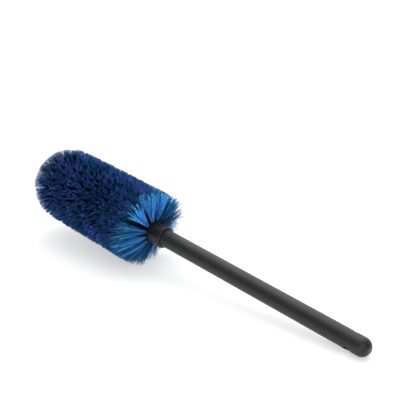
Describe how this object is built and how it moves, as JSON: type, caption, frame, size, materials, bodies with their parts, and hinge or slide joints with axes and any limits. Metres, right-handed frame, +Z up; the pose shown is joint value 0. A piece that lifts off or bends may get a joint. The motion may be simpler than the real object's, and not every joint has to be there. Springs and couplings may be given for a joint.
{
  "type": "wheel brush",
  "caption": "Round tufted wheel-cleaning brush with a domed tip and a long straight handle with a hanging hole.",
  "frame": {"origin": "centre of the bounding box on the ground that the brush lies on", "axes": "+X along the brush, from the bristled dome towards the handle's end; +Y across; +Z up from the ground"},
  "size_m": [0.4235, 0.078, 0.0932],
  "materials": {
    "bristle": "nylon filaments, navy at the cut tips and brighter blue along their sides",
    "hub_plastic": "smooth moulded black plastic, low gloss",
    "handle_plastic": "fine-grained charcoal moulded plastic",
    "anchor_steel": "flat drawn wire"
  },
  "bodies": {
    "root": {"head_core": "hub_plastic", "handle": "handle_plastic", "anchors_barrel": "anchor_steel", "anchors_dome": "anchor_steel", "tuft_row_01": "bristle", "tuft_row_02": "bristle", "tuft_row_03": "bristle", "tuft_row_04": "bristle", "tuft_row_05": "bristle", "tuft_row_06": "bristle", "tuft_row_07": "bristle", "tuft_row_08": "bristle", "tuft_row_09": "bristle", "tuft_row_10": "bristle", "tuft_row_11": "bristle", "tuft_row_12": "bristle", "tuft_row_13": "bristle", "tuft_row_14": "bristle", "tuft_row_15": "bristle", "tuft_row_16": "bristle", "tuft_row_17": "bristle", "tuft_row_18": "bristle", "tuft_row_19": "bristle", "tuft_row_20": "bristle", "tuft_dome_ring_1": "bristle", "tuft_dome_ring_2": "bristle", "tuft_dome_ring_3": "bristle", "tuft_tip": "bristle"}
  },
  "joints": []
}
